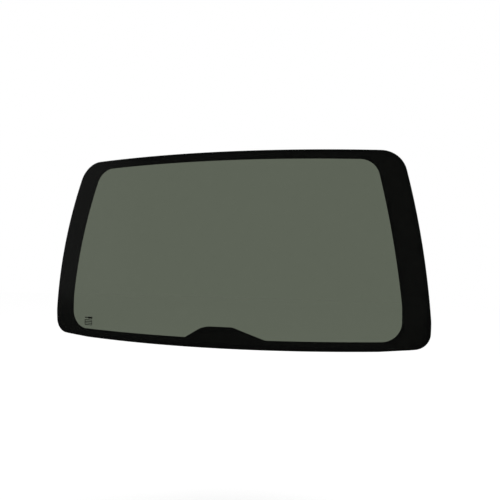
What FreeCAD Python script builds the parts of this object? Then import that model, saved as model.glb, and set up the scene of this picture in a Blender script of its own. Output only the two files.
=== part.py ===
import FreeCAD, Part
import math
import os
import Sketcher

# Rear window of a car: one pane of curved safety glass, with a black ceramic
# band fired on its inner face. +Z is up, +X is to the right as seen from
# outside the car, and the outer face bulges towards -Y. The sketches are drawn
# from the lowest point of the outer face, and the finished pieces are then
# shifted so that the middle of their box is the origin.

Vector = FreeCAD.Vector
Constraint = Sketcher.Constraint

# Driving sizes, in millimetres
SIZES = {
    # Curves of the outer face, in plan and upright
    "plan_radius": 2427.0,
    "profile_radius": 2215.0,
    "profile_apex_height": 42.0,
    # Outline of the pane from the front, its widths taken at the sharp corners. A
    # toe eases the side edge, and another the bottom edge, into each lower corner.
    "bottom_width": 1287.5,
    "top_width": 1105.0,
    "pane_height": 625.5,
    "bottom_edge_rise": 20.0,
    "top_edge_crown": 12.5,
    "side_edge_radius": 2415.0,
    "lower_corner_radius": 48.5,
    "upper_corner_radius": 84.5,
    "bottom_toe_run": 99.0,
    "bottom_toe_rise": 9.0,
    "bottom_toe_radius": 1140.0,
    "side_toe_run": 73.5,
    "side_toe_flare": 3.0,
    "side_toe_radius": 150.0,
    # The glass, and the bevel ground on both sides of its edge
    "glass_thickness": 4.0,
    "ground_bevel": 1.2,
    # Ceramic band: its thickness, its step back from the ground edge, its widths
    # at the middles and corners, and the curves of the clear opening, which has an
    # upright toe below each side edge
    "band_thickness": 0.6,
    "band_setback": 0.3,
    "band_bottom_middle": 30.5,
    "band_bottom_corner": 18.0,
    "band_top_middle": 30.0,
    "band_top_corner": 27.5,
    "band_side_lower": 80.0,
    "band_side_upper": 75.0,
    "opening_side_radius": 2620.0,
    "opening_lower_radius": 60.0,
    "opening_upper_radius": 63.5,
    "opening_toe_run": 102.5,
    "opening_toe_radius": 240.0,
    # Raised patch of the lower band, its places counted from the middle
    "patch_rise": 37.5,
    "patch_left_foot": 109.5,
    "patch_left_shoulder": 45.5,
    "patch_right_shoulder": 51.5,
    "patch_right_foot": 158.5,
    "patch_left_round": 90.0,
    "patch_right_round": 28.0,
    "patch_left_flare": 6.0,
    "patch_right_flare": 30.0,
}

# Sketcher's numbers for the ends and centre of a curve, for the sketch's own axes
# and for its origin
START, END, CENTRE = range(1, 4)
HORIZONTAL_AXIS, VERTICAL_AXIS = range(-1, -3, -1)
ORIGIN = (HORIZONTAL_AXIS, START)

# Upright planes through the construction origin
FRONT_PLANE = FreeCAD.Rotation(Vector(1, 0, 0), 90)
SIDE_PLANE = FreeCAD.Rotation(Vector(0, 1, 0), Vector(0, 0, 1), Vector(1, 0, 0), "ZXY")

# Share of a curve next to a corner where the rounding picks it up
CORNER_PICK = 0.02

# Sizes that round the patch's corners, from left to right
PATCH_ROUNDINGS = ["patch_left_flare", "patch_left_round", "patch_right_round",
                   "patch_right_flare"]

# Degrees through which the profile is turned, evenly to both sides of the middle
TURN = 60.0


def make_sheet():
    """Write the driving sizes into a spreadsheet, one alias to a row."""
    sheet = doc.addObject("Spreadsheet::Sheet", "Sizes")
    for row, (alias, value) in enumerate(SIZES.items(), start=1):
        sheet.set(f"A{row}", alias)
        sheet.set(f"B{row}", str(value))
        sheet.setAlias(f"B{row}", alias)
    doc.recompute()
    return sheet


def size(alias):
    """A driving size, read back from the sheet."""
    return float(sheet.get(alias))


def add(kind, name, **settings):
    """Add an object to the document and set its properties."""
    piece = doc.addObject(kind, name)
    for key, value in settings.items():
        setattr(piece, key, value)
    return piece


def add_sketch(name, rotation):
    """Add a sketch on an upright plane through the construction origin."""
    return add("Sketcher::SketchObject", name,
               Placement=FreeCAD.Placement(Vector(0, 0, 0), rotation))


def dimension(sketch, name, formula, *constraint):
    """Add a dimension whose value follows a formula of the sheet's cells."""
    index = sketch.addConstraint(Constraint(*constraint))
    sketch.renameConstraint(index, name)
    sketch.setExpression(f"Constraints.{name}", formula)


def arc(start, middle, end):
    """An arc through three points of a sketch plane."""
    return Part.Arc(*(Vector(across, up, 0) for across, up in (start, middle, end)))


def line(start, end):
    """A straight line between two points of a sketch plane."""
    return Part.LineSegment(*(Vector(across, up, 0) for across, up in (start, end)))


def bowed(start, end, radius):
    """An arc between two points, of a given radius, bowed to the right of its way."""
    across, up = end[0] - start[0], end[1] - start[1]
    chord = math.hypot(across, up)
    bow = radius - math.sqrt(radius ** 2 - chord ** 2 / 4)
    middle = (
        (start[0] + end[0]) / 2 + up / chord * bow,
        (start[1] + end[1]) / 2 - across / chord * bow,
    )
    return arc(start, middle, end)


def split_bowed(ends, middle_height, stops):
    """The two outer stretches of a shallow arc that is cut away between two stops."""
    left, right = ends
    sag = left[1] - middle_height
    radius = (left[0] ** 2 + sag ** 2) / (2 * sag)

    def on_arc(across):
        return across, middle_height + radius - math.sqrt(radius ** 2 - across ** 2)

    before, after = stops
    return (
        arc(left, on_arc((left[0] + before) / 2), on_arc(before)),
        arc(on_arc(after), on_arc((after + right[0]) / 2), right),
    )


def point_at(curve, share):
    """The point at a share of a curve's length."""
    first, last = curve.FirstParameter, curve.LastParameter
    return curve.value(first + share * (last - first))


def add_outline(sketch, curves, radii):
    """Join curves head to tail and round the corner at the end of each. The sharp
    corners stay as construction points. Returns these points and the roundings."""
    follower = {index: (index + 1) % len(curves) for index in range(len(curves))}
    corner_places = [curve.value(curve.LastParameter) for curve in curves]
    for curve in curves:
        sketch.addGeometry(curve)
    for index, after in follower.items():
        sketch.addConstraint(Constraint("Coincident", index, END, after, START))
    roundings = []
    for index, after in follower.items():
        before_corner = point_at(sketch.Geometry[index], 1 - CORNER_PICK)
        past_corner = point_at(sketch.Geometry[after], CORNER_PICK)
        roundings.append(sketch.GeometryCount)
        sketch.fillet(index, after, before_corner, past_corner, radii[index], True, False)
    corners = []
    for index, after in follower.items():
        corner = sketch.addGeometry(Part.Point(corner_places[index]), True)
        sketch.addConstraint(Constraint("PointOnObject", corner, START, index))
        sketch.addConstraint(Constraint("PointOnObject", corner, START, after))
        corners.append(corner)
    return corners, roundings


def hold_middle(sketch, curve, name, formula, height):
    """Hold a curve at a height on the vertical axis."""
    middle = sketch.addGeometry(Part.Point(Vector(0, height, 0)), True)
    sketch.addConstraint(Constraint("PointOnObject", middle, START, VERTICAL_AXIS))
    sketch.addConstraint(Constraint("PointOnObject", middle, START, curve))
    dimension(sketch, name, formula, "DistanceY", *ORIGIN, middle, START, height)


def hold_pair(sketch, name, left, right, width, height):
    """Hold two corners evenly about the vertical axis. Width and height are each
    a formula and the value that it has now."""
    symmetric = Constraint("Symmetric", left, START, right, START, VERTICAL_AXIS)
    sketch.addConstraint(symmetric)
    dimension(sketch, f"{name}_width", width[0],
              "DistanceX", left, START, right, START, width[1])
    dimension(sketch, f"{name}_height", height[0],
              "DistanceY", *ORIGIN, right, START, height[1])


def hold_radius(sketch, name, alias, *curves):
    """Give one or two arcs the radius that a cell holds."""
    dimension(sketch, name, f"Sizes.{alias}", "Radius", curves[0], size(alias))
    for curve in curves[1:]:
        sketch.addConstraint(Constraint("Equal", curves[0], curve))


def draw_profile():
    """The upright section of the outer face, in the middle of the pane."""
    sketch = add_sketch("profile", SIDE_PLANE)
    radius, apex = size("profile_radius"), size("profile_apex_height")
    reach = 2 * size("pane_height")
    setback = radius - math.sqrt(radius ** 2 - reach ** 2)
    sketch.addGeometry(arc((setback, apex + reach), (0, apex), (setback, apex - reach)))
    sketch.addConstraint(Constraint("Vertical", 0, START, 0, END))
    hold_radius(sketch, "radius", "profile_radius", 0)
    dimension(sketch, "depth", "Sizes.profile_radius",
              "DistanceX", *ORIGIN, 0, CENTRE, radius)
    dimension(sketch, "apex", "Sizes.profile_apex_height",
              "DistanceY", *ORIGIN, 0, CENTRE, apex)
    dimension(sketch, "span", "4 * Sizes.pane_height",
              "DistanceY", 0, END, 0, START, 2 * reach)
    return sketch


def draw_pane_outline():
    """The pane from the front: four slightly bowed edges and four round corners,
    with two toes at each lower one."""
    sketch = add_sketch("pane_outline", FRONT_PLANE)
    right_bottom, right_top = size("bottom_width") / 2, size("top_width") / 2
    low, high = size("bottom_edge_rise"), size("pane_height") - size("top_edge_crown")
    heel_right, heel_height = right_bottom - size("bottom_toe_run"), size("bottom_toe_rise")
    hip_right = right_bottom + size("side_toe_flare")
    hip_height = low + size("side_toe_run")
    side = size("side_edge_radius")
    curves = [
        arc((-heel_right, heel_height), (0, 0), (heel_right, heel_height)),
        line((heel_right, heel_height), (right_bottom, low)),
        line((right_bottom, low), (hip_right, hip_height)),
        bowed((hip_right, hip_height), (right_top, high), side),
        arc((right_top, high), (0, size("pane_height")), (-right_top, high)),
        bowed((-right_top, high), (-hip_right, hip_height), side),
        line((-hip_right, hip_height), (-right_bottom, low)),
        line((-right_bottom, low), (-heel_right, heel_height)),
    ]
    aliases = ["bottom_toe_radius", "lower_corner_radius", "side_toe_radius",
               "upper_corner_radius"]
    aliases += reversed(aliases)
    corners, roundings = add_outline(sketch, curves, [size(alias) for alias in aliases])
    pairs = {
        "heel": (("Sizes.bottom_width - 2 * Sizes.bottom_toe_run", 2 * heel_right),
                 ("Sizes.bottom_toe_rise", heel_height)),
        "bottom": (("Sizes.bottom_width", 2 * right_bottom),
                   ("Sizes.bottom_edge_rise", low)),
        "hip": (("Sizes.bottom_width + 2 * Sizes.side_toe_flare", 2 * hip_right),
                ("Sizes.bottom_edge_rise + Sizes.side_toe_run", hip_height)),
        "top": (("Sizes.top_width", 2 * right_top),
                ("Sizes.pane_height - Sizes.top_edge_crown", high)),
    }
    mirrored = zip(pairs.items(), corners, reversed(corners))
    for (name, (width, height)), right, left in mirrored:
        hold_pair(sketch, name, left, right, width, height)
    sketch.addConstraint(Constraint("PointOnObject", *ORIGIN, 0))
    hold_middle(sketch, 4, "top_middle", "Sizes.pane_height", size("pane_height"))
    hold_radius(sketch, "side", "side_edge_radius", 3, 5)
    for alias, right, left in zip(aliases[:4], roundings, reversed(roundings)):
        hold_radius(sketch, alias, alias, right, left)
    return sketch


def draw_opening_outline():
    """The clear opening inside the band, with the raised patch in its lower edge."""
    sketch = add_sketch("opening_outline", FRONT_PLANE)
    right_bottom = size("bottom_width") / 2 - size("band_side_lower")
    right_top = size("top_width") / 2 - size("band_side_upper")
    floor = size("band_bottom_middle")
    low = size("bottom_edge_rise") + size("band_bottom_corner")
    toe_height = low + size("opening_toe_run")
    ceiling = size("pane_height") - size("band_top_middle")
    high = size("pane_height") - size("top_edge_crown") - size("band_top_corner")
    side = size("opening_side_radius")
    patch_top = floor + size("patch_rise")
    left_foot, right_foot = -size("patch_left_foot"), size("patch_right_foot")
    left_shoulder = (-size("patch_left_shoulder"), patch_top)
    right_shoulder = (size("patch_right_shoulder"), patch_top)
    bottom_left, bottom_right = split_bowed(
        ((-right_bottom, low), (right_bottom, low)), floor, (left_foot, right_foot)
    )
    left_foot_place = point_at(bottom_left, 1)
    right_foot_place = point_at(bottom_right, 0)
    curves = [
        bottom_right,
        line((right_bottom, low), (right_bottom, toe_height)),
        bowed((right_bottom, toe_height), (right_top, high), side),
        arc((right_top, high), (0, ceiling), (-right_top, high)),
        bowed((-right_top, high), (-right_bottom, toe_height), side),
        line((-right_bottom, toe_height), (-right_bottom, low)),
        bottom_left,
        line((left_foot_place.x, left_foot_place.y), left_shoulder),
        line(left_shoulder, right_shoulder),
        line(right_shoulder, (right_foot_place.x, right_foot_place.y)),
    ]
    opening_aliases = ["opening_lower_radius", "opening_toe_radius", "opening_upper_radius"]
    aliases = opening_aliases + opening_aliases[::-1] + PATCH_ROUNDINGS
    corners, roundings = add_outline(sketch, curves, [size(alias) for alias in aliases])
    width = ("Sizes.bottom_width - 2 * Sizes.band_side_lower", 2 * right_bottom)
    low_formula = "Sizes.bottom_edge_rise + Sizes.band_bottom_corner"
    hold_pair(sketch, "bottom", corners[5], corners[0], width, (low_formula, low))
    hold_pair(sketch, "toe", corners[4], corners[1], width,
              (f"{low_formula} + Sizes.opening_toe_run", toe_height))
    hold_pair(sketch, "top", corners[3], corners[2],
              ("Sizes.top_width - 2 * Sizes.band_side_upper", 2 * right_top),
              ("Sizes.pane_height - Sizes.top_edge_crown - Sizes.band_top_corner", high))
    sketch.addConstraint(Constraint("Coincident", 0, CENTRE, 6, CENTRE))
    sketch.addConstraint(Constraint("Equal", 0, 6))
    hold_middle(sketch, 0, "floor", "Sizes.band_bottom_middle", floor)
    hold_middle(sketch, 3, "ceiling", "Sizes.pane_height - Sizes.band_top_middle", ceiling)
    hold_radius(sketch, "side", "opening_side_radius", 2, 4)
    for alias, right, left in zip(opening_aliases, roundings, roundings[5:2:-1]):
        hold_radius(sketch, alias, alias, right, left)
    hold_patch(sketch, corners[6:], roundings[6:], patch_top)
    return sketch


def hold_patch(sketch, corners, roundings, patch_top):
    """Hold the feet, shoulders and roundings of the raised patch."""
    left_foot, left_shoulder, right_shoulder, right_foot = corners
    places = {
        "patch_left_foot": (left_foot, START, *ORIGIN),
        "patch_left_shoulder": (left_shoulder, START, *ORIGIN),
        "patch_right_shoulder": (*ORIGIN, right_shoulder, START),
        "patch_right_foot": (*ORIGIN, right_foot, START),
    }
    for alias, ends in places.items():
        dimension(sketch, alias, f"Sizes.{alias}", "DistanceX", *ends, size(alias))
    for name, shoulder in (("left", left_shoulder), ("right", right_shoulder)):
        dimension(sketch, f"patch_{name}_top", "Sizes.band_bottom_middle + Sizes.patch_rise",
                  "DistanceY", *ORIGIN, shoulder, START, patch_top)
    for alias, rounding in zip(PATCH_ROUNDINGS, roundings):
        hold_radius(sketch, alias, alias, rounding)


def make_outer_face():
    """The whole outer face before trimming: the profile turned about an upright axis."""
    face = add("Part::Revolution", "outer_face", Source=draw_profile(),
               Axis=Vector(0, 0, -1), Angle=TURN, Symmetric=True, Solid=False)
    face.setExpression("Base.y", "Sizes.plan_radius")
    return face


def make_cutter(name, source):
    """A straight prism of an outline, long enough to pass through the whole face."""
    cutter = add("Part::Extrusion", name, Base=source, DirMode="Normal", Solid=True)
    cutter.setExpression("LengthFwd", "Sizes.pane_height")
    cutter.setExpression("LengthRev", "Sizes.bottom_width")
    return cutter


def thicken(name, source, thickness):
    """A skin made solid towards the inside of the car by a formula's thickness."""
    slab = add("Part::Offset", name, Source=source, Fill=True)
    slab.setExpression("Value", f"-({thickness})")
    return slab


def make_glass(outer_face, pane_outline):
    """The pane: a curved slab of glass, cut to its outline, with a bevel ground on
    both sides of its edge."""
    slab = thicken("glass_slab", outer_face, "Sizes.glass_thickness")
    cutter = make_cutter("pane_cutter", pane_outline)
    blank = add("Part::Common", "pane_blank", Base=slab, Tool=cutter)
    doc.recompute()
    bevel = size("ground_bevel")
    rim = [(index, bevel, bevel) for index in rim_edges(blank.Shape)]
    return add("Part::Chamfer", "glass_pane", Base=blank, Edges=rim)


def rim_edges(shape):
    """Numbers of the edges that bound the two large faces of a slab."""
    large_faces = sorted(shape.Faces, key=lambda face: face.Area)[-2:]
    rim = [edge for face in large_faces for edge in face.Edges]
    return [
        index
        for index, edge in enumerate(shape.Edges, start=1)
        if any(edge.isSame(other) for other in rim)
    ]


def make_band(outer_face, pane_outline):
    """The ceramic band: a thin film on the inner face, from the ground edge to the
    clear opening."""
    inner_face = add("Part::Offset", "inner_face", Source=outer_face, Fill=False)
    inner_face.setExpression("Value", "-Sizes.glass_thickness")
    film = thicken("film", inner_face, "Sizes.band_thickness")
    border = add("Part::Offset2D", "band_border", Source=pane_outline)
    border.setExpression("Value", "-(Sizes.ground_bevel + Sizes.band_setback)")
    border_cutter = make_cutter("border_cutter", border)
    opening_cutter = make_cutter("opening_cutter", draw_opening_outline())
    cutter = add("Part::Cut", "band_cutter", Base=border_cutter, Tool=opening_cutter)
    return add("Part::Common", "frit_band", Base=film, Tool=cutter)


def check_document(pieces):
    """Stop if an object failed or a piece isn't one sound solid."""
    for member in doc.Objects:
        if "Invalid" in member.State or "Error" in member.State:
            raise RuntimeError(f"{member.Label} failed: {member.State}")
    for piece in pieces:
        if piece.Shape.isNull() or not piece.Shape.isValid():
            raise RuntimeError(f"{piece.Label} has no sound shape")
        if len(piece.Shape.Solids) != 1:
            raise RuntimeError(f"{piece.Label} isn't one solid")


doc = FreeCAD.newDocument("RearWindow")
sheet = make_sheet()
outer_face = make_outer_face()
pane_outline = draw_pane_outline()
glass_pane = make_glass(outer_face, pane_outline)
frit_band = make_band(outer_face, pane_outline)
pieces = (glass_pane, frit_band)
doc.recompute()
check_document(pieces)

overall_box = glass_pane.Shape.optimalBoundingBox()
overall_box.add(frit_band.Shape.optimalBoundingBox())
for piece in pieces:
    piece.Placement.Base = -overall_box.Center
doc.recompute()
check_document(pieces)

os.makedirs("parts", exist_ok=True)
for piece in pieces:
    piece.Shape.exportStep(f"parts/{piece.Label}.step")
    box = piece.Shape.optimalBoundingBox()
    print(piece.Label, f"{piece.Shape.Volume:.0f} mm3, box", box)
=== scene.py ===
import math

import bpy
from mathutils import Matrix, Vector
from mathutils.geometry import delaunay_2d_cdt


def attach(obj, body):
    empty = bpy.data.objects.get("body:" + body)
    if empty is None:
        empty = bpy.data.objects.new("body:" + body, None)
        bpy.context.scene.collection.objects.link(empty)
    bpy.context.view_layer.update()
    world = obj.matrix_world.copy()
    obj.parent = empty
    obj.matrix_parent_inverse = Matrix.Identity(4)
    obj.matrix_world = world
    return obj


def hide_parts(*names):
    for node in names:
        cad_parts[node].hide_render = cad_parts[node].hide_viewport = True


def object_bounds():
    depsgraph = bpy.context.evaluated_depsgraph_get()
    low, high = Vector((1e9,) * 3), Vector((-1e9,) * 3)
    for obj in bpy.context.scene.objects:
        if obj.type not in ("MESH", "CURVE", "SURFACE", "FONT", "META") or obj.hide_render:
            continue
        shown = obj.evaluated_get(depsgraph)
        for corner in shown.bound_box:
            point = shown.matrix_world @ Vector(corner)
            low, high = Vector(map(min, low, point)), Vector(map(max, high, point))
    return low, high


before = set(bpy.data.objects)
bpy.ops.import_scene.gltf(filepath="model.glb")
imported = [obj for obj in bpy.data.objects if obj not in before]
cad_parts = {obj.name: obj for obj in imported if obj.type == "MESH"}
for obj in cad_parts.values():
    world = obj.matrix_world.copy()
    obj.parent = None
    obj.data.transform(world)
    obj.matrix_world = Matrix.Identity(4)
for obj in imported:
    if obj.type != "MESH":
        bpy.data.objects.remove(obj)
CAD_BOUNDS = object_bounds()

# Rear window glass of a car: a bare tinted pane with a black ceramic band fired
# on its inner face. Lengths are in metres. An outline is drawn in the front
# view, across and up from the lowest point of the pane's middle, and is then
# laid on the curved face at some depth behind the outer surface.

# Curves of the outer face
PLAN_RADIUS = 2.427
PROFILE_RADIUS = 2.215
APEX_HEIGHT = 0.042

# Outline of the pane: the right-hand sharp corners from the bottom up, the top of
# its middle, the radius of its side edges, and the rounding at each corner. The
# first and third corners are the ends of the toes that ease into the second.
PANE_CORNERS = [(0.54475, 0.009), (0.64375, 0.020), (0.64675, 0.0935), (0.5525, 0.613)]
PANE_TOP = 0.6255
PANE_SIDE_RADIUS = 2.415
PANE_ROUNDS = [1.140, 0.0485, 0.150, 0.0845]
GLASS_THICKNESS = 0.004
RIM_RADIUS = 0.0015
RIM_STEPS = 4

# Outline of the clear opening inside the band, in the same way
OPENING_CORNERS = [(0.56375, 0.038), (0.56375, 0.1405), (0.4775, 0.5855)]
OPENING_FLOOR = 0.0305
OPENING_TOP = 0.5955
OPENING_SIDE_RADIUS = 2.620
OPENING_ROUNDS = [0.060, 0.240, 0.0635]
# Raised patch in the lower edge of the opening: feet, shoulders and their rounds
PATCH_TOP = 0.068
PATCH_FEET = (-0.1095, 0.1585)
PATCH_SHOULDERS = (-0.0455, 0.0515)
PATCH_FLARES = (0.006, 0.030)
PATCH_ROUNDS = (0.090, 0.028)

# The band lies just within the inner face, as an enamel fused into the glass,
# and stands a little proud of it
BAND_MARGIN = 0.0016
BAND_SUNK = 0.00006
BAND_PROUD = 0.00025

# Plain printed mark in the lower left corner of the clear glass: two bars above a
# ruled box. Each is its left, lower, right and upper side.
MARK_BARS = [(-0.5105, 0.0722, -0.4990, 0.0757), (-0.4975, 0.0705, -0.4770, 0.0767)]
MARK_BOX = (-0.5115, 0.0480, -0.4785, 0.0670)
MARK_LINE = 0.0022
MARK_ROWS = 3

# Spacing of points along an outline, as a length on its edges and as an angle on
# its roundings
OUTLINE_STEP = 0.008
ROUND_STEP = math.radians(5)
# Spacing of the points that fill a face, and the share of it that they keep away
# from an outline
FILL_STEP = 0.020
FILL_ROOM = 0.45
# Points of an outline closer than this count as one
MERGE_DISTANCE = 1e-7
# A straight edge is drawn as an arc of this radius
STRAIGHT = 1000.0

# Camera: where it stands, what it looks at and its lens in millimetres
CAMERA_PLACE = (0.8317, -2.1054, 0.0246)
CAMERA_TARGET = (0.1123, -0.0690, -0.0037)
CAMERA_LENS = 50.64
SENSOR_WIDTH = 36.0

# Materials. Colours are linear, a roughness is its least and its most, a noise is
# its fineness and its detail, and a relief is its strength and its height. The
# glass has the tint of light that goes straight through.
GLASS_TINT = (0.112, 0.128, 0.097)
GLASS_INDEX = 1.52
GLASS_WAVES = (9.0, 1.0)
GLASS_RELIEF = (0.3, 0.0004)
EDGE_COLOUR = (0.030, 0.040, 0.032)
EDGE_ROUGHNESS = (0.38, 0.60)
EDGE_GRAIN = (2500.0, 3.0)
EDGE_RELIEF = (0.25, 0.0001)
CERAMIC_COLOUR = (0.010, 0.010, 0.011)
CERAMIC_GLOSS = 0.25
CERAMIC_ROUGHNESS = (0.42, 0.62)
CERAMIC_CLOUDS = (14.0, 4.0)
CERAMIC_GRAIN = (900.0, 2.0)
CERAMIC_RELIEF = (0.15, 0.0001)

# The room: its strength, how much brighter it is on the far left and above the
# floor, and the directions between which that part fades in, left and up
ROOM_LIGHT = 0.060
ROOM_GLOW = 0.060
GLOW_LEFT = (-0.64, -0.78)
GLOW_UP = (-0.05, 0.02)

# Floor: how far below the pane, its width, its paint, its own glow near the pane
# and far from it, the distances between which that fades, and its strength in
# reflections
FLOOR_DROP = 0.90
FLOOR_SIZE = 24.0
FLOOR_PAINT = 0.6
FLOOR_GLOW = (0.5, 0.95)
FLOOR_FADE = (1.0, 2.5)
FLOOR_MIRRORED = 0.050

# Soft square lamps: place, width, and power in watts
LAMPS = {
    "key": ((-0.9, -1.3, 3.4), 2.0, 110.0),
    "fill": ((3.2, -0.9, 1.2), 1.6, 45.0),
    "back": ((0.8, 3.0, 2.5), 2.0, 60.0),
}


# Outlines

def circle_through(start, end, radius):
    """Centre of the circle of a given radius through two points, on the left of
    the way from the first to the second."""
    across, up = end[0] - start[0], end[1] - start[1]
    chord = math.hypot(across, up)
    reach = math.sqrt(radius ** 2 - chord ** 2 / 4)
    return (
        (start[0] + end[0]) / 2 - up / chord * reach,
        (start[1] + end[1]) / 2 + across / chord * reach,
    )


def edge(start, end, radius=STRAIGHT):
    """One edge of an outline: an arc bowed to the right of its way."""
    return {"start": start, "end": end, "radius": radius,
            "centre": circle_through(start, end, radius)}


def shallow_radius(half_width, rise):
    """Radius of an arc that rises by a given height over half its chord."""
    return (half_width ** 2 + rise ** 2) / (2 * rise)


def rounding(before, after, radius, convex):
    """Centre of the circle that touches two edges at their common corner."""
    sign = -1 if convex else 1
    far_a, far_b = before["radius"] + sign * radius, after["radius"] + sign * radius
    (ax, ay), (bx, by) = before["centre"], after["centre"]
    apart = math.hypot(bx - ax, by - ay)
    along = (apart ** 2 + far_a ** 2 - far_b ** 2) / (2 * apart)
    aside = math.sqrt(max(far_a ** 2 - along ** 2, 0.0))
    ux, uy = (bx - ax) / apart, (by - ay) / apart
    choices = [
        (ax + along * ux - side * aside * uy, ay + along * uy + side * aside * ux)
        for side in (-1, 1)
    ]
    corner = before["end"]
    return min(choices, key=lambda p: math.hypot(p[0] - corner[0], p[1] - corner[1]))


def touch_point(side, centre):
    """Where a circle about a centre touches an edge."""
    cx, cy = side["centre"]
    span = math.hypot(centre[0] - cx, centre[1] - cy)
    share = side["radius"] / span
    return cx + (centre[0] - cx) * share, cy + (centre[1] - cy) * share


def sweep(centre, start, end, radius, step, outwards):
    """Points and outward normals along an arc, its end left out."""
    first = math.atan2(start[1] - centre[1], start[0] - centre[0])
    last = math.atan2(end[1] - centre[1], end[0] - centre[0])
    turn = (last - first + math.pi) % (2 * math.pi) - math.pi
    count = max(1, math.ceil(abs(turn) / step))
    points = []
    for index in range(count):
        angle = first + turn * index / count
        normal = (math.cos(angle), math.sin(angle))
        place = (centre[0] + radius * normal[0], centre[1] + radius * normal[1])
        points.append((place, (outwards * normal[0], outwards * normal[1])))
    return points


def outline(edges, rounds):
    """Points and outward normals of a closed outline with rounded corners. Each
    round is the radius at the end of its edge, negative at an inward corner."""
    count = len(edges)
    corners = []
    for index, radius in enumerate(rounds):
        before, after = edges[index], edges[(index + 1) % count]
        centre = rounding(before, after, abs(radius), radius > 0)
        corners.append((centre, touch_point(before, centre), touch_point(after, centre)))
    points = []
    for index, side in enumerate(edges):
        start = corners[index - 1][2]
        centre, end, after_start = corners[index]
        step = OUTLINE_STEP / side["radius"]
        points += sweep(side["centre"], start, end, side["radius"], step, 1)
        radius = rounds[index]
        outwards = 1 if radius > 0 else -1
        points += sweep(centre, end, after_start, abs(radius), ROUND_STEP, outwards)
    return points


def ring_of_edges(corners, floor, top, side_radius):
    """The edges of an even outline, anticlockwise from the bottom one. Only the
    bottom, the top and the uppermost side edges are bowed."""
    mirrored = [(-across, up) for across, up in reversed(corners)]
    (low_across, low_up), (high_across, high_up) = corners[0], corners[-1]
    bottom = edge(mirrored[-1], corners[0], shallow_radius(low_across, low_up - floor))
    upper = edge(corners[-1], mirrored[0], shallow_radius(high_across, top - high_up))
    right = [edge(*pair) for pair in zip(corners, corners[1:])]
    left = [edge(*pair) for pair in zip(mirrored, mirrored[1:])]
    right[-1] = edge(*corners[-2:], side_radius)
    left[0] = edge(*mirrored[:2], side_radius)
    return [bottom, *right, upper, *left]


def pane_outline():
    edges = ring_of_edges(PANE_CORNERS, 0.0, PANE_TOP, PANE_SIDE_RADIUS)
    return outline(edges, PANE_ROUNDS + PANE_ROUNDS[::-1])


def opening_outline():
    """The clear opening: its bottom edge is broken by the raised patch."""
    bottom, *others = ring_of_edges(
        OPENING_CORNERS, OPENING_FLOOR, OPENING_TOP, OPENING_SIDE_RADIUS
    )
    feet = [foot_on(bottom, across) for across in PATCH_FEET]
    shoulders = [(across, PATCH_TOP) for across in PATCH_SHOULDERS]
    edges = [
        dict(bottom, start=feet[1]),
        *others,
        dict(bottom, end=feet[0]),
        edge(feet[0], shoulders[0]),
        edge(shoulders[0], shoulders[1]),
        edge(shoulders[1], feet[1]),
    ]
    patch_rounds = [PATCH_FLARES[0], -PATCH_ROUNDS[0], -PATCH_ROUNDS[1], PATCH_FLARES[1]]
    return outline(edges, OPENING_ROUNDS + OPENING_ROUNDS[::-1] + patch_rounds)


def rectangle(left, low, right, high):
    """Points round an upright rectangle, anticlockwise."""
    corners = [(left, low), (right, low), (right, high), (left, high)]
    points = []
    for start, end in zip(corners, corners[1:] + corners[:1]):
        count = math.ceil(math.dist(start, end) / OUTLINE_STEP)
        points += [
            (start[0] + (end[0] - start[0]) * step / count,
             start[1] + (end[1] - start[1]) * step / count)
            for step in range(count)
        ]
    return points


def ruled_box():
    """The border of the mark's box, and the gaps between its ruled lines."""
    left, low, right, high = MARK_BOX
    row = (high - low - MARK_LINE) / MARK_ROWS
    gaps = [
        rectangle(left + MARK_LINE, low + MARK_LINE + index * row,
                  right - MARK_LINE, low + (index + 1) * row)
        for index in range(MARK_ROWS)
    ]
    return [rectangle(*MARK_BOX), *gaps]


def foot_on(side, across):
    """The point of a shallow bottom edge at a place across."""
    cx, cy = side["centre"]
    return across, cy - math.sqrt(side["radius"] ** 2 - (across - cx) ** 2)


def inset(points, distance):
    """An outline moved inwards by a distance."""
    return [
        (px - nx * distance, py - ny * distance) for (px, py), (nx, ny) in points
    ]


# The curved face

# The frame's places of the face's foremost point and of the pane's lowest point
FOREMOST, LOWEST = CAD_BOUNDS[0][1], CAD_BOUNDS[0][2]


def on_face(across, up, depth):
    """A point of the front view laid on the curved face, at a depth behind it."""
    radius = PROFILE_RADIUS - depth
    back = PROFILE_RADIUS - math.sqrt(radius ** 2 - (up - APEX_HEIGHT) ** 2)
    turned = PLAN_RADIUS - back
    behind = PLAN_RADIUS - math.sqrt(turned ** 2 - across ** 2)
    return across, FOREMOST + behind, LOWEST + up


# Meshes

def fill(loops):
    """Triangles between outlines: the first is the border and the rest are holes.
    Returns the flat points, the triangles, and each outline's run of points."""
    points, constraints, runs = [], [], []
    for loop in loops:
        first = len(points)
        points += loop
        runs.append(range(first, len(points)))
        count = len(loop)
        constraints += [(first + i, first + (i + 1) % count) for i in range(count)]
    edge_points = len(points)
    points += filling_points(loops)
    vectors = [Vector(point) for point in points]
    flat, _, faces, origins, _, _ = delaunay_2d_cdt(
        vectors, constraints, [], 0, MERGE_DISTANCE
    )
    if any(origins[index][:1] != [index] for index in range(edge_points)):
        raise RuntimeError("an outline crosses itself")
    kept = [face for face in faces if inside_all(centre_of(flat, face), loops)]
    return [tuple(point) for point in flat], kept, runs


def filling_points(loops):
    """A grid of points well inside the border and outside the holes."""
    border = loops[0]
    across = [point[0] for point in border]
    up = [point[1] for point in border]
    columns = int((max(across) - min(across)) / FILL_STEP)
    rows = int((max(up) - min(up)) / FILL_STEP)
    grid = []
    for row in range(1, rows):
        for column in range(1, columns):
            point = (min(across) + column * FILL_STEP, min(up) + row * FILL_STEP)
            if inside_all(point, loops) and clear_of(point, loops, FILL_STEP * FILL_ROOM):
                grid.append(point)
    return grid


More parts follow.
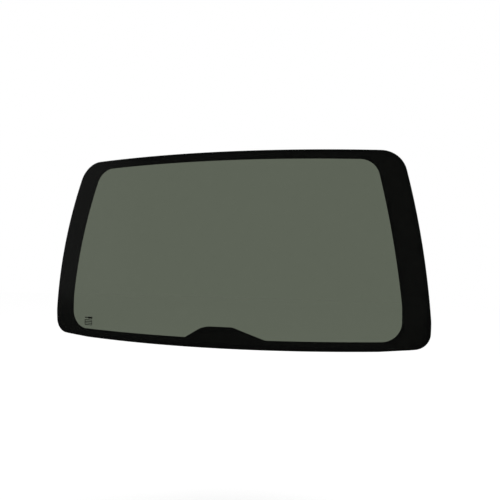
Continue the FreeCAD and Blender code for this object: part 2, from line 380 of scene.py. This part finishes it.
def clear_of(point, loops, room):
    """Whether a point keeps a distance from every point of the outlines."""
    return all(
        math.hypot(point[0] - other[0], point[1] - other[1]) > room
        for loop in loops
        for other in loop
    )


def centre_of(points, face):
    """The middle of a face's corners."""
    return (
        sum(points[index][0] for index in face) / len(face),
        sum(points[index][1] for index in face) / len(face),
    )


def inside(point, loop):
    """Whether a point lies inside a closed outline."""
    across, up = point
    within = False
    for (ax, ay), (bx, by) in zip(loop, loop[1:] + loop[:1]):
        if (ay > up) != (by > up) and across < (bx - ax) * (up - ay) / (by - ay) + ax:
            within = not within
    return within


def inside_all(point, loops):
    """Whether a point lies inside the border and outside every hole."""
    return inside(point, loops[0]) and not any(inside(point, hole) for hole in loops[1:])


def add_piece(name, points, faces, materials, face_slots):
    """Make an object of points and faces that rides on the only body."""
    mesh = bpy.data.meshes.new(name)
    mesh.from_pydata(points, [], faces)
    for material in materials:
        mesh.materials.append(material)
    for polygon, slot in zip(mesh.polygons, face_slots):
        polygon.material_index = slot
        polygon.use_smooth = True
    mesh.update()
    piece = bpy.data.objects.new(name, mesh)
    bpy.context.scene.collection.objects.link(piece)
    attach(piece, "root")
    return piece


def make_pane(glass, ground_edge):
    """The pane: two curved faces and a ground, rounded rim between them."""
    border = pane_outline()
    flat, triangles, runs = fill([inset(border, RIM_RADIUS)])
    count, rim = len(flat), len(border)
    points = [on_face(*point, 0.0) for point in flat]
    points += [on_face(*point, GLASS_THICKNESS) for point in flat]
    faces = [tuple(face) for face in triangles]
    faces += [tuple(count + index for index in reversed(face)) for face in triangles]
    slots = [0] * len(faces)
    rings = [list(runs[0])]
    for distance, depth in rim_profile():
        first = len(points)
        points += [on_face(*point, depth) for point in inset(border, distance)]
        rings.append(list(range(first, first + rim)))
    rings.append([count + index for index in runs[0]])
    strips = ring_faces(rings)
    faces += strips
    slots += [1] * len(strips)
    pane = add_piece("pane", points, faces, [glass, ground_edge], slots)
    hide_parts("glass_pane")


def rim_profile():
    """Inset and depth of the rings of the rim, from the outer to the inner face."""
    quarter = [
        math.pi / 2 * step / RIM_STEPS for step in range(1, RIM_STEPS + 1)
    ]
    front = [
        (RIM_RADIUS * (1 - math.sin(angle)), RIM_RADIUS * (1 - math.cos(angle)))
        for angle in quarter
    ]
    back = [(distance, GLASS_THICKNESS - depth) for distance, depth in reversed(front)]
    return front + back


def ring_faces(rings):
    """Quads between following rings of equally many points."""
    count = len(rings[0])
    return [
        (ring[i], ring_after[i], ring_after[(i + 1) % count], ring[(i + 1) % count])
        for ring, ring_after in zip(rings, rings[1:])
        for i in range(count)
    ]


def make_film(name, loops, material):
    """A thin film of enamel on the inner face, bounded by outlines."""
    flat, triangles, runs = fill(loops)
    count = len(flat)
    front, back = GLASS_THICKNESS - BAND_SUNK, GLASS_THICKNESS + BAND_PROUD
    points = [on_face(*point, front) for point in flat]
    points += [on_face(*point, back) for point in flat]
    faces = [tuple(face) for face in triangles]
    faces += [tuple(count + index for index in reversed(face)) for face in triangles]
    for number, run in enumerate(runs):
        rings = [list(run), [count + index for index in run]]
        is_hole = number > 0
        faces += ring_faces(rings[::-1] if is_hole else rings)
    piece = add_piece(name, points, faces, [material], [0] * len(faces))
    return piece


# Materials

def node_material(name):
    """An empty node material, its node tree and its output node."""
    material = bpy.data.materials.new(name)
    material.use_nodes = True
    tree = material.node_tree
    tree.nodes.clear()
    output = tree.nodes.new("ShaderNodeOutputMaterial")
    return material, tree, output


def principled(tree, output, colour, **inputs):
    """A principled shader joined to the output."""
    shader = tree.nodes.new("ShaderNodeBsdfPrincipled")
    shader.inputs["Base Color"].default_value = (*colour, 1.0)
    for name, value in inputs.items():
        shader.inputs[name.replace("_", " ")].default_value = value
    tree.links.new(shader.outputs["BSDF"], output.inputs["Surface"])
    return shader


def noise(tree, scale, detail):
    """A noise texture in object space."""
    texture = tree.nodes.new("ShaderNodeTexNoise")
    texture.inputs["Scale"].default_value = scale
    texture.inputs["Detail"].default_value = detail
    place = tree.nodes.new("ShaderNodeTexCoord")
    tree.links.new(place.outputs["Object"], texture.inputs["Vector"])
    return texture


def spread(tree, value, low, high, start=0.0, stop=1.0):
    """A value taken evenly from low to high as it goes from start to stop."""
    ramp = tree.nodes.new("ShaderNodeMapRange")
    ramp.inputs["From Min"].default_value = start
    ramp.inputs["From Max"].default_value = stop
    ramp.inputs["To Min"].default_value = low
    ramp.inputs["To Max"].default_value = high
    tree.links.new(value, ramp.inputs["Value"])
    return ramp.outputs[0]


def bump(tree, shader, texture, strength, distance):
    """A texture used as the height of a shader's surface."""
    node = tree.nodes.new("ShaderNodeBump")
    node.inputs["Strength"].default_value = strength
    node.inputs["Distance"].default_value = distance
    tree.links.new(texture.outputs[0], node.inputs["Height"])
    tree.links.new(node.outputs["Normal"], shader.inputs["Normal"])


def make_glass():
    """Clear tinted glass with the slight waviness that tempering leaves."""
    material, tree, output = node_material("tinted_glass")
    shader = principled(tree, output, GLASS_TINT, Roughness=0.0, IOR=GLASS_INDEX,
                        Transmission_Weight=1.0)
    bump(tree, shader, noise(tree, *GLASS_WAVES), *GLASS_RELIEF)
    return material


def make_ground_edge():
    """The rim: glass ground matt, dark with the tint seen end on."""
    material, tree, output = node_material("ground_edge")
    shader = principled(tree, output, EDGE_COLOUR, IOR=GLASS_INDEX)
    grain = noise(tree, *EDGE_GRAIN)
    roughness = spread(tree, grain.outputs[0], *EDGE_ROUGHNESS)
    tree.links.new(roughness, shader.inputs["Roughness"])
    bump(tree, shader, grain, *EDGE_RELIEF)
    return material


def make_ceramic():
    """Fired black enamel with the faint grain of its printing screen."""
    material, tree, output = node_material("black_ceramic")
    shader = principled(tree, output, CERAMIC_COLOUR, Specular_IOR_Level=CERAMIC_GLOSS)
    clouds = noise(tree, *CERAMIC_CLOUDS)
    roughness = spread(tree, clouds.outputs[0], *CERAMIC_ROUGHNESS)
    tree.links.new(roughness, shader.inputs["Roughness"])
    bump(tree, shader, noise(tree, *CERAMIC_GRAIN), *CERAMIC_RELIEF)
    return material


# Studio

def combined(tree, operation, first, second):
    """Two values joined by a mathematical operation."""
    node = tree.nodes.new("ShaderNodeMath")
    node.operation = operation
    for socket, value in zip(node.inputs, (first, second)):
        if isinstance(value, float):
            socket.default_value = value
        else:
            tree.links.new(value, socket)
    return node.outputs[0]


def mixed(tree, share, first, second):
    """Two shaders mixed by a share of the second."""
    node = tree.nodes.new("ShaderNodeMixShader")
    for socket, value in zip(node.inputs, (share, first, second)):
        tree.links.new(value, socket)
    return node.outputs[0]


def glowing(tree, kind, strength):
    """A white background or emission shader."""
    node = tree.nodes.new(kind)
    node.inputs["Color"].default_value = (1, 1, 1, 1)
    if isinstance(strength, float):
        node.inputs["Strength"].default_value = strength
    else:
        tree.links.new(strength, node.inputs["Strength"])
    return node.outputs[0]


def coordinates(tree, kind):
    """The coordinates of one kind."""
    return tree.nodes.new("ShaderNodeTexCoord").outputs[kind]


def make_world():
    """A white background for what the camera sees, also through the glass, and a
    dim room for everything else, a little brighter on its far left."""
    world = bpy.data.worlds.new("studio")
    bpy.context.scene.world = world
    world.use_nodes = True
    tree = world.node_tree
    tree.nodes.clear()
    output = tree.nodes.new("ShaderNodeOutputWorld")
    axes = tree.nodes.new("ShaderNodeSeparateXYZ")
    tree.links.new(coordinates(tree, "Generated"), axes.inputs[0])
    left = spread(tree, axes.outputs["X"], 0.0, ROOM_GLOW, *GLOW_LEFT)
    up = spread(tree, axes.outputs["Z"], 0.0, 1.0, *GLOW_UP)
    glow = combined(tree, "MULTIPLY", left, up)
    room = combined(tree, "ADD", glow, ROOM_LIGHT)
    path = tree.nodes.new("ShaderNodeLightPath").outputs
    seen = combined(tree, "MAXIMUM", path["Is Camera Ray"], path["Is Transmission Ray"])
    surface = mixed(tree, seen, glowing(tree, "ShaderNodeBackground", room),
                    glowing(tree, "ShaderNodeBackground", 1.0))
    tree.links.new(surface, output.inputs["Surface"])


def make_floor():
    """A plain pale floor that takes the pane's shadow. To the camera it fades to
    white away from the pane, and in reflections it is as dim as the room."""
    half = FLOOR_SIZE / 2
    mesh = bpy.data.meshes.new("floor")
    corners = [(-half, -half), (half, -half), (half, half), (-half, half)]
    mesh.from_pydata([(x, y, 0) for x, y in corners], [], [(0, 1, 2, 3)])
    material, tree, output = node_material("floor")
    paint = tree.nodes.new("ShaderNodeBsdfDiffuse")
    paint.inputs["Color"].default_value = (FLOOR_PAINT, FLOOR_PAINT, FLOOR_PAINT, 1)
    distance = tree.nodes.new("ShaderNodeVectorMath")
    distance.operation = "LENGTH"
    tree.links.new(coordinates(tree, "Object"), distance.inputs[0])
    fade = spread(tree, distance.outputs["Value"], *FLOOR_GLOW, *FLOOR_FADE)
    path = tree.nodes.new("ShaderNodeLightPath").outputs
    seen = combined(tree, "MAXIMUM", path["Is Camera Ray"], path["Is Transmission Ray"])
    glow = combined(tree, "MULTIPLY", fade, seen)
    lit = tree.nodes.new("ShaderNodeAddShader")
    tree.links.new(paint.outputs[0], lit.inputs[0])
    tree.links.new(glowing(tree, "ShaderNodeEmission", glow), lit.inputs[1])
    dim = glowing(tree, "ShaderNodeEmission", FLOOR_MIRRORED)
    mirrored = combined(tree, "SUBTRACT", path["Is Glossy Ray"], path["Is Transmission Ray"])
    surface = mixed(tree, mirrored, lit.outputs[0], dim)
    tree.links.new(surface, output.inputs["Surface"])
    mesh.materials.append(material)
    floor = bpy.data.objects.new("floor", mesh)
    floor.location.z = LOWEST - FLOOR_DROP
    bpy.context.scene.collection.objects.link(floor)


def add_lamp(name, place, size, power):
    """A soft square lamp that points at the pane's middle. It lights the pane and
    the floor, but doesn't show in the glass."""
    data = bpy.data.lights.new(name, "AREA")
    data.size = size
    data.energy = power
    lamp = bpy.data.objects.new(name, data)
    lamp.location = place
    lamp.rotation_euler = (-Vector(place)).to_track_quat("-Z", "Y").to_euler()
    lamp.visible_camera = False
    lamp.visible_transmission = False
    lamp.visible_glossy = False
    bpy.context.scene.collection.objects.link(lamp)


def make_camera():
    """The camera of the photograph."""
    data = bpy.data.cameras.new("camera")
    data.lens = CAMERA_LENS
    data.sensor_width = SENSOR_WIDTH
    camera = bpy.data.objects.new("camera", data)
    camera.location = CAMERA_PLACE
    way = Vector(CAMERA_TARGET) - Vector(CAMERA_PLACE)
    camera.rotation_euler = way.to_track_quat("-Z", "Y").to_euler()
    bpy.context.scene.collection.objects.link(camera)
    bpy.context.scene.camera = camera


ceramic = make_ceramic()
make_pane(make_glass(), make_ground_edge())
band_loops = [
    inset(pane_outline(), BAND_MARGIN),
    [place for place, _ in opening_outline()],
]
band = make_film("band", band_loops, ceramic)
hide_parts("frit_band")
for number, bar in enumerate(MARK_BARS, start=1):
    make_film(f"mark_bar_{number}", [rectangle(*bar)], ceramic)
make_film("mark_box", ruled_box(), ceramic)

make_world()
make_floor()
for name, (place, size, power) in LAMPS.items():
    add_lamp(name, place, size, power)
make_camera()
bpy.context.scene.view_settings.view_transform = "Standard"
